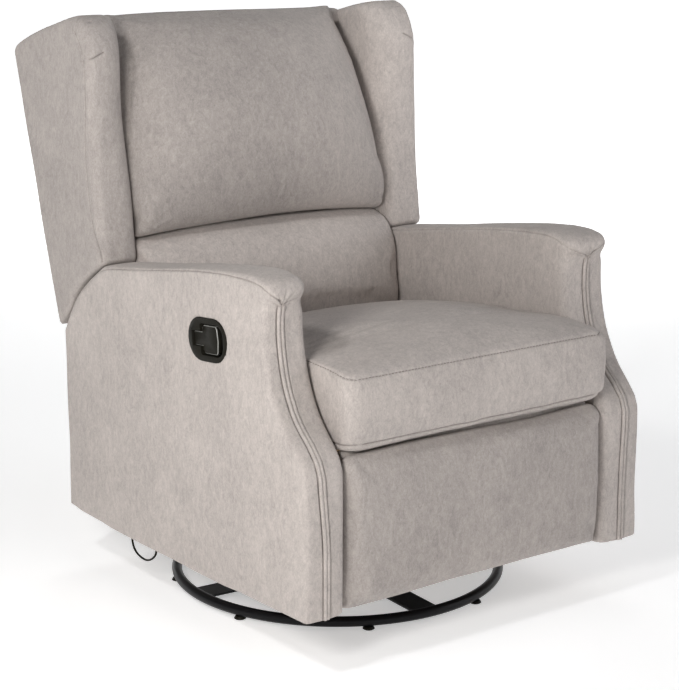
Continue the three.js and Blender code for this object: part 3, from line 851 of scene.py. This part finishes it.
def build_wing(name, side):
    ends = [side * WING_IN, side * (WING_OUT + WING_PROUD[name])]
    wing = slab(f"{name}_wing", ends, wing_outline(), [wing_inner_rounding, wing_outer_rounding])
    remesh(wing)
    relax(wing, 2)
    co = coords(wing)
    n = normals(wing)
    panel = np.clip(side * n[:, 0], 0, 1) ** 4 * np.clip((1.02 - co[:, 2]) / 0.1, 0, 1)
    panel *= np.clip((co[:, 2] - wing_low.z) / 0.1, 0, 1)
    set_coords(wing, co + (0.003 * panel)[:, None] * n)
    undulate(wing, 0.0016, 8, 3 if side > 0 else 4)
    edge = smooth_line(across(side * WING_OUT, WING_SEAM), 0.003)
    seam(wing, edge, 0.0017, 0.0014, 0.0012, 0.009, 0.45)
    for line in WING_DARTS:
        dart = smooth_line(mm(*line) * [side, 1, 1], 0.002)
        seam(wing, dart, 0.0028, 0.0012, 0.0018, 0.012, 0.6)
    # Painted light and shade for this wing.
    paint_light_and_shade(wing, WING_LIGHT_AND_SHADE[name])
    finish_piece(wing, SUEDE, "back", [f"wing_{name}"])


# ---- Cushions of the back ----


def stations(half, corner=0.035, count=9):
    """Places across a cushion, closer together at its rounded ends."""
    middle = np.linspace(-(half - corner), half - corner, 21)
    angles = np.linspace(0, math.pi / 2, count)[1:]
    end = half - corner + corner * np.sin(angles)
    return np.concatenate([-end[::-1], middle, end])


def end_inset(x, half, corner):
    """How far a rounded end has drawn in at x."""
    over = max(0.0, abs(x) - (half - corner))
    return corner - math.sqrt(max(0.0, corner**2 - over**2))


CUSHION_HALF = 0.2835
HEAD_FRONT_MIDDLE = mm(
    (176, 643), (138, 655), (118, 692), (112, 750), (120, 820),
    (144, 890), (184, 950), (232, 996), (284, 1024),
)
HEAD_FRONT_END = mm(
    (190, 627), (163, 640), (156, 690), (170, 744), (190, 805),
    (213, 862), (242, 920), (270, 960), (300, 998),
)
LUMBAR_MIDDLE = mm((176, 641), (138, 630), (108, 600), (92, 560), (84, 515), (83, 484), (85, 450))
LUMBAR_END = mm((190, 624), (157, 611), (134, 587), (120, 553), (112, 504), (108, 475), (107, 447))


def back_crease(height):
    """The line along which the head and lumbar cushions meet, bowed towards its ends."""
    x = np.linspace(-0.27, 0.27, 9)
    return smooth_line(np.column_stack([x, 0.178 + 0.16 * x * x, height - 0.2 * x * x]))


def cushion_rings(middle, end, back, half, corner):
    """Side outlines across a cushion: full in the middle, drawn in at the ends."""
    rings = []
    for x in stations(half, corner):
        t = (abs(x) / half) ** 2.8
        front = smooth_line(middle * (1 - t) + end * t, 0.02)
        pick = np.linspace(0, len(front) - 1, 40).round().astype(int)
        front = front[pick].copy()
        inset = end_inset(x, half, corner)
        front[:, 0] += inset
        rings.append(across(x, np.vstack([front, back])))
    return rings


def build_head():
    back = mm((322, 1022), (350, 1006), (430, 950), (348, 650), (342, 640))
    rings = cushion_rings(HEAD_FRONT_MIDDLE, HEAD_FRONT_END, back, CUSHION_HALF - 0.003, 0.016)
    head = loft("head_cushion_cover", rings)
    co = coords(head)
    narrowing = 0.075 * np.clip((co[:, 2] - 0.66) / 0.36, 0, 1) ** 1.2
    co[:, 0] *= 1 - narrowing
    raised = 0.008 * eased_step((0.27 - co[:, 0]) / 0.54)
    co[:, 2] += raised * np.clip((co[:, 2] - 0.9) / 0.1, 0, 1)
    set_coords(head, co)
    remesh(head)
    relax(head, 3)
    inflate(head, [(back_crease(0.642), 0.02)], pressure=3.0, cap=0.006)
    undulate(head, 0.003, 6, 5)
    # Painted shade: the head cushion's colour is darkened by up to a fifth, fading out towards the
    # sitter's left end.
    paint_light_and_shade(head, -0.20 * eased_step((0.2 - coords(head)[:, 0]) / 0.26))
    finish_piece(head, SUEDE, "back", ["head_cushion"])


def build_lumbar():
    back = mm((160, 440), (200, 430), (290, 430), (330, 620), (320, 628))
    rings = cushion_rings(LUMBAR_MIDDLE, LUMBAR_END, back, CUSHION_HALF, 0.014)
    lumbar = loft("lumbar_cushion_cover", rings)
    remesh(lumbar)
    relax(lumbar, 3)
    inflate(lumbar, [(back_crease(0.640), 0.02)], pressure=3.0, cap=0.005)
    undulate(lumbar, 0.0025, 7, 6)
    # Painted light: the lumbar cushion's colour is lightened by a tenth, rising to over a fifth towards
    # the sitter's left, standing in for light bounced from the seat.
    paint_light_and_shade(lumbar, 0.1 + 0.12 * eased_step((coords(lumbar)[:, 0] + 0.1) / 0.3))
    finish_piece(lumbar, SUEDE, "back", ["lumbar_cushion"])


# ---- Seat cushion ----

SEAT_FRONT_Y = -0.459
SEAT_CORNER = 0.026
SEAT_SEAM_Z = 0.4955
SEAT_LOW_SEAM_Z = 0.3845
SEAT_MIDDLE = mm(
    (118, 455), (60, 470), (-60, 498), (-180, 517), (-300, 527), (-380, 526), (-430, 513), (-455, 497)
)
SEAT_END = mm(
    (118, 446), (60, 455), (-60, 474), (-180, 489), (-300, 502), (-380, 507), (-430, 504), (-453, 497)
)
DECK_HEM_Z = 0.34


def seat_rings():
    rings = []
    for x in stations(SEAT_HALF, SEAT_CORNER):
        t = (abs(x) / SEAT_HALF) ** 2.6
        top = smooth_line(SEAT_MIDDLE * (1 - t) + SEAT_END * t, 0.03)
        top = top[np.linspace(0, len(top) - 1, 36).round().astype(int)].copy()
        front = mm((-458, 484), (-461, 440), (-460, 398), (-454, 377), (-444, 371))
        front[1:3, 0] -= 0.006 * (1 - t)
        body = np.vstack([top, front, mm((0, 350), (118, 342))])
        inset = end_inset(x, SEAT_HALF, SEAT_CORNER)
        body[:, 0] += inset * np.clip((0.1 - body[:, 0]) / 0.2, 0, 1)
        rings.append(across(x, body))
    return rings


def seat_seam_plan():
    """The cushion's plan outline round its front, from one side to the other."""
    corner = SEAT_CORNER
    turn = np.linspace(0, math.pi / 2, 8)
    corner_x = SEAT_HALF - corner + corner * np.cos(turn)
    corner_y = SEAT_FRONT_Y + corner - corner * np.sin(turn)
    right = np.column_stack([corner_x, corner_y])
    run_y = np.linspace(SEAT_FRONT_Y + 0.25, SEAT_FRONT_Y + corner, 6)
    run = np.column_stack([np.full(6, SEAT_HALF), run_y])
    return np.vstack([run, right, right[::-1] * [-1, 1], run[::-1] * [-1, 1]])


def front_swell(co):
    """Ahead of the arms' curved fronts the cushion spreads past its own width."""
    ahead = eased_step((-0.405 - co[:, 1]) / 0.045)
    height = np.clip((co[:, 2] - 0.372) / 0.02, 0, 1) * np.clip((0.512 - co[:, 2]) / 0.03, 0.3, 1)
    most = 0.012 + 0.075 * (co[:, 0] > 0)
    share = np.clip(np.abs(co[:, 0]) / SEAT_HALF, 0, 1) ** 3
    out = co.copy()
    out[:, 0] *= 1 + ahead * height * most * share
    return out


def build_seat():
    seat = loft("seat_cushion_cover", seat_rings())
    remesh(seat)
    relax(seat, 3)
    plan = seat_seam_plan()
    back = plan[:, 1] - SEAT_FRONT_Y
    top_seam = smooth_line(np.column_stack([plan, SEAT_SEAM_Z + 0.09 * np.clip(back, 0, 0.1)]), 0.004)
    low_seam = smooth_line(np.column_stack([plan, SEAT_LOW_SEAM_Z - 0.04 * back]), 0.004)
    inflate(seat, [(top_seam, 0.008), (low_seam, 0.008)], pressure=4.0, cap=0.006)
    undulate(seat, 0.0028, 7, 7)
    co = coords(seat)
    ripple = np.array([noise.noise((p[0] * 26, p[1] * 8, p[2] * 5 + 3)) for p in co])
    ripple *= np.clip((-0.4 - co[:, 1]) / 0.04, 0, 1)
    set_coords(seat, co + (0.0016 * ripple)[:, None] * normals(seat))
    set_coords(seat, front_swell(coords(seat)))
    line = seam(seat, front_swell(top_seam), 0.0011, 0.0015, 0.0010, 0.01, 0.18)
    seam(seat, front_swell(low_seam), 0.0028, 0.0014, 0.0014, 0.009, 0.75)
    finish_piece(seat, SUEDE, "seat", ["seat_cushion"])
    stitches("seat_top_stitching", seat, line, "seat")


def build_seat_deck():
    """The cloth on the front rail, folded down over its face to a hem."""
    low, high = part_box("seat_rail_front")
    x, y, z = high.x + 0.02, low.y, high.z
    outline = [[y - 0.012, DECK_HEM_Z], [y - 0.012, z - 0.004], [y - 0.006, z + 0.001]]
    outline += [[y + 0.06, z + 0.001], [y + 0.06, z - 0.004]]
    outline += [[y - 0.006, z - 0.005], [y - 0.007, DECK_HEM_Z]]
    cloth = loft("seat_deck_cloth", [across(-x, outline), across(x, outline)])
    finish_piece(cloth, SUEDE, "seat")


def stitches(name, cloth, line, body, pitch=0.0068, length=0.0036, radius=0.0007):
    """Short thread stitches lying in a seam."""
    steps = np.linalg.norm(np.diff(line, axis=0), axis=1)
    run = np.concatenate([[0], np.cumsum(steps)])
    places = np.arange(pitch, run[-1] - pitch, pitch)
    middle = np.column_stack([np.interp(places, run, line[:, k]) for k in range(3)])
    ahead = np.column_stack([np.interp(places + length / 2, run, line[:, k]) for k in range(3)])
    laid = on_surface(cloth, middle, 0.0002)
    parts = []
    for centre, m, a in zip(laid, middle, ahead):
        parts.append(tube("stitch", [centre - (a - m), centre, centre + (a - m)], radius, 6))
    thread = join(name, parts)
    finish_piece(thread, THREAD, body)


# ---- Footrest, rear panel and outside back ----


def build_footrest():
    half = pad_high.x
    low, high = pad_low.z - 0.003, pad_high.z + 0.003
    rear = pad_high.y
    rings = []
    for x in stations(half, 0.02, 6):
        inset = end_inset(x, half, 0.02)
        drop = end_inset(x, half, 0.016)
        front = pad_low.y + inset
        top = high - drop
        body = [[rear, low], [front + 0.004, low], [front, low + 0.004]]
        body += [[front, high - 0.014 - drop], [front + 0.005, high - 0.004 - drop], [front + 0.012, top]]
        body += [[rear, top]]
        rings.append(across(x, np.array(body)))
    pad = loft("footrest_cover", rings)
    remesh(pad, 0.0045)
    relax(pad, 3)
    edge = np.array([[-half, rear, low], [half, rear, low], [half, rear, high], [-half, rear, high]])
    inflate(pad, [(smooth_line(edge, 0.01), 0.012)], pressure=3.0, cap=0.004)
    set_coords(pad, footrest_swell(coords(pad), half, low, high))
    undulate(pad, 0.002, 7, 8)
    # Painted shade: the footrest cover's colour is darkened by about a sixth.
    paint_light_and_shade(pad, -0.16)
    finish_piece(pad, SUEDE, "footrest", ["footrest_pad"])


def footrest_swell(co, half, low, high):
    """The pad bulges to its front and its ends, and more so at the sitter's left."""
    co = co.copy()
    across_share = np.clip(1 - (np.abs(co[:, 0]) / (half + 0.004)) ** np.where(co[:, 0] > 0, 16, 6), 0, 1)
    tall_share = np.clip(1 - ((co[:, 2] - (low + high) / 2) / ((high - low) / 2 + 0.004)) ** 6, 0, 1)
    ahead = np.clip((pad_high.y - co[:, 1]) / (pad_high.y - pad_low.y), 0, 1)
    co[:, 1] -= 0.014 * across_share * tall_share * ahead
    spread = np.where(co[:, 0] > 0, 0.020, 0.003) * ahead
    co[:, 0] += np.sign(co[:, 0]) * spread * tall_share**0.5 * (np.abs(co[:, 0]) / half) ** 8
    return co


def build_rear():
    low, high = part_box("rear_panel")
    outline = [[low.y, low.z], [low.y, high.z]]
    outline += [[high.y - 0.004, high.z], [high.y, high.z - 0.006], [high.y, low.z]]
    panel = loft("rear_panel_cover", [across(low.x, outline), across(high.x, outline)])
    remesh(panel)
    relax(panel, 3)
    undulate(panel, 0.0016, 7, 9)
    finish_piece(panel, SUEDE, "seat", ["rear_panel"])


def build_back_cover():
    """The outside back, which reaches into the wings above the arms."""
    low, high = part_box("back_cover")
    lean = 0.2716
    corner_z = 0.949
    thick = 0.018

    def rear(z):
        return high.y - lean * (corner_z - z)

    hem = low.z
    outline = [[rear(hem) - thick, hem], [rear(hem) - 0.004, hem], [rear(hem + 0.004), hem + 0.004]]
    outline += [[rear(0.940), 0.940], [0.452, 0.960], [0.395, 0.990], [0.345, 1.012], [0.326, 1.014]]
    outline += [[0.318, 0.985], [0.41, 0.945], [rear(0.93) - thick, 0.93]]
    cover = loft("back_cover_cloth", [across(low.x, outline), across(high.x, outline)])
    remesh(cover)
    co = coords(cover)
    widening = (WING_IN + 0.005) / high.x - 1
    co[:, 0] *= 1 + widening * eased_step((co[:, 2] - 0.64) / 0.06)
    set_coords(cover, co)
    relax(cover, 4)
    undulate(cover, 0.002, 6, 10)
    finish_piece(cover, SUEDE, "back", ["back_cover"])


def build_back_flap():
    """Cloth that closes the gap between the rear panel and the back, with a little slack in it."""
    panel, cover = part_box("rear_panel"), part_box("back_cover")
    half = panel[1].x - 0.004
    low, high = panel[1].z - 0.016, cover[0].z + 0.018
    outline = []
    for face in (0.0006, 0.0022):
        rise = np.linspace(0, 1, 15)
        slack = 0.005 * np.sin(math.pi * rise)
        y = panel[1].y + face + 0.0025 * rise + slack
        outline.append(np.column_stack([y, low + (high - low) * rise]))
    outline = np.vstack([outline[0], outline[1][::-1]])
    flap = loft("back_flap_cloth", [across(x, outline) for x in np.linspace(-half, half, 45)])
    undulate(flap, 0.0016, 9, 11)
    flap.data.materials.append(SUEDE)
    flap.data.polygons.foreach_set("use_smooth", [True] * len(flap.data.polygons))
    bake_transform(flap)


# ---- Release cable ----

CABLE_THICKNESS = 0.004
CABLE_ROUTE = mm(
    (-342, -187, 515), (-335, -187, 514), (-327, -183, 495), (-325, -165, 400), (-327, -70, 240),
    (-330, 20, 150), (-330, 52, 100), (-330, 58, 68), (-330, 90, 49), (-330, 128, 56),
    (-330, 140, 85), (-330, 132, 150), (-327, 70, 240), (-320, -20, 284), (-305, -58, 293),
    (-290, -60, 292), (-262, -78, 284), (-252, -105, 270), (-248.5, -146, 274),
)


def build_cable():
    """The cable from the back of the handle, down in one loop under the arm, and up to the latch."""
    route = smooth_line(CABLE_ROUTE, 0.006)
    cable = tube("release_cable_sheath", route, CABLE_THICKNESS / 2, 12)
    finish_piece(cable, MATERIALS["black_plastic"], "seat", ["release_cable"])


# ---- Base ----


def torus(name, centre, radius, thick, steps=144, sides=20):
    b = np.linspace(0, 2 * math.pi, sides, endpoint=False)
    r = radius + thick * np.cos(b)
    z = centre[2] + thick * np.sin(b)
    rings = []
    for a in np.linspace(0, 2 * math.pi, steps, endpoint=False):
        rings.append(np.column_stack([centre[0] + r * math.cos(a), centre[1] + r * math.sin(a), z]))
    verts = np.vstack(rings)
    faces = []
    for i in range(steps):
        for j in range(sides):
            i2, j2 = (i + 1) % steps, (j + 1) % sides
            faces.append((i * sides + j, i * sides + j2, i2 * sides + j2, i2 * sides + j))
    obj = make(name, verts, faces)
    turn_outwards(obj)
    return obj


def build_base():
    low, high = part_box("base_ring")
    centre = (low + high) / 2
    thick = (high.z - low.z) / 2 + 0.0004
    radius = (high.x - low.x) / 2 - thick
    ring = torus("base_ring_tube", centre, radius, thick)
    finish_piece(ring, MATERIALS["black_steel"], "base", ["base_ring"])


# ---- Studio ----

CAMERA_PLACE = (-2.119, -2.886, 1.295)
CAMERA_DOWN = math.radians(13.66)
CAMERA_RIGHT = math.radians(36.87)
CAMERA_LENS = 103.7
LIGHT_TARGET = (0, 0, 0.5)
FLOOR_RIM = ((28, 0), (29.4, 0.4), (30, 1.4), (30, 5))  # radius and height of each ring of its edge
FLOOR_SIDES = 96


def camera():
    data = bpy.data.cameras.new("camera")
    data.lens = CAMERA_LENS
    cam = bpy.data.objects.new("camera", data)
    cam.location = CAMERA_PLACE
    cam.rotation_euler = (math.pi / 2 - CAMERA_DOWN, 0, -CAMERA_RIGHT)
    bpy.context.scene.collection.objects.link(cam)
    bpy.context.scene.camera = cam


def area_light(name, place, target, size, power, colour=(1, 1, 1)):
    data = bpy.data.lights.new(name, "AREA")
    data.shape = "SQUARE"
    data.size = size
    data.energy = power
    data.color = colour
    obj = bpy.data.objects.new(name, data)
    obj.location = place
    obj.rotation_euler = (Vector(target) - Vector(place)).to_track_quat("-Z", "Y").to_euler()
    bpy.context.scene.collection.objects.link(obj)


def studio_floor():
    """A wide pale floor with its far edge turned up. It glows, and so stays white, far from the chair."""
    n = Nodes("studio_white", Roughness=0.9)
    n.shader.inputs["Emission Color"].default_value = (1, 1, 1, 1)
    cloud = n.noise(1.5, 2)
    n.feed("Base Color", n.mix(cloud, (0.90, 0.90, 0.90, 1), (0.93, 0.93, 0.93, 1)))
    away = n.tree.nodes.new("ShaderNodeVectorMath")
    away.operation = "LENGTH"
    n.tree.links.new(n.place, away.inputs[0])
    n.feed("Emission Strength", n.ramp(away.outputs["Value"], 0.42, 0.95, 2.5, 5.0))
    sides = FLOOR_SIDES
    angles = np.linspace(0, 2 * math.pi, sides, endpoint=False)
    verts = []
    for radius, height in FLOOR_RIM:
        verts += [(radius * math.cos(a), radius * math.sin(a), height) for a in angles]
    faces = [range(sides)]
    for start in range(0, len(verts) - sides, sides):
        for i in range(sides):
            j = (i + 1) % sides
            faces.append((start + j, start + i, start + sides + i, start + sides + j))
    floor = make("studio_floor", verts, faces)
    floor.data.materials.append(n.material)


def studio():
    studio_floor()
    world = bpy.data.worlds.new("studio")
    world.use_nodes = True
    world.node_tree.nodes["Background"].inputs["Color"].default_value = (0.97, 0.985, 1.0, 1)
    world.node_tree.nodes["Background"].inputs["Strength"].default_value = 0.07
    bpy.context.scene.world = world
    bpy.context.scene.view_settings.view_transform = "Standard"
    area_light("key", (-1.65, -1.2, 1.15), LIGHT_TARGET, 0.4, 18.2, (1.0, 0.98, 0.95))
    area_light("high", (-1.9, -0.7, 2.3), LIGHT_TARGET, 0.28, 16.8, (0.98, 0.98, 0.99))
    area_light("fill", (2.4, -2.0, 1.5), LIGHT_TARGET, 1.5, 18.4, (0.95, 0.95, 1.0))
    area_light("top", (0.0, -0.4, 3.0), LIGHT_TARGET, 1.6, 6.6, (0.92, 0.96, 1.0))
    area_light("backdrop", (2.2, 2.4, 3.2), (2.8, 3.8, 0.6), 2.5, 90)


camera()
studio()
dress_cad_nodes()
for side_name, side_sign in SIDES.items():
    build_arm(side_name, side_sign)
    build_wing(side_name, side_sign)
build_head()
build_lumbar()
build_seat()
build_seat_deck()
build_footrest()
build_rear()
build_back_cover()
build_base()
moulded("handle_bezel", "seat", 0.001)
moulded("release_paddle", "paddle", 0.0012, painted_edge_highlight())
build_cable()
build_back_flap()
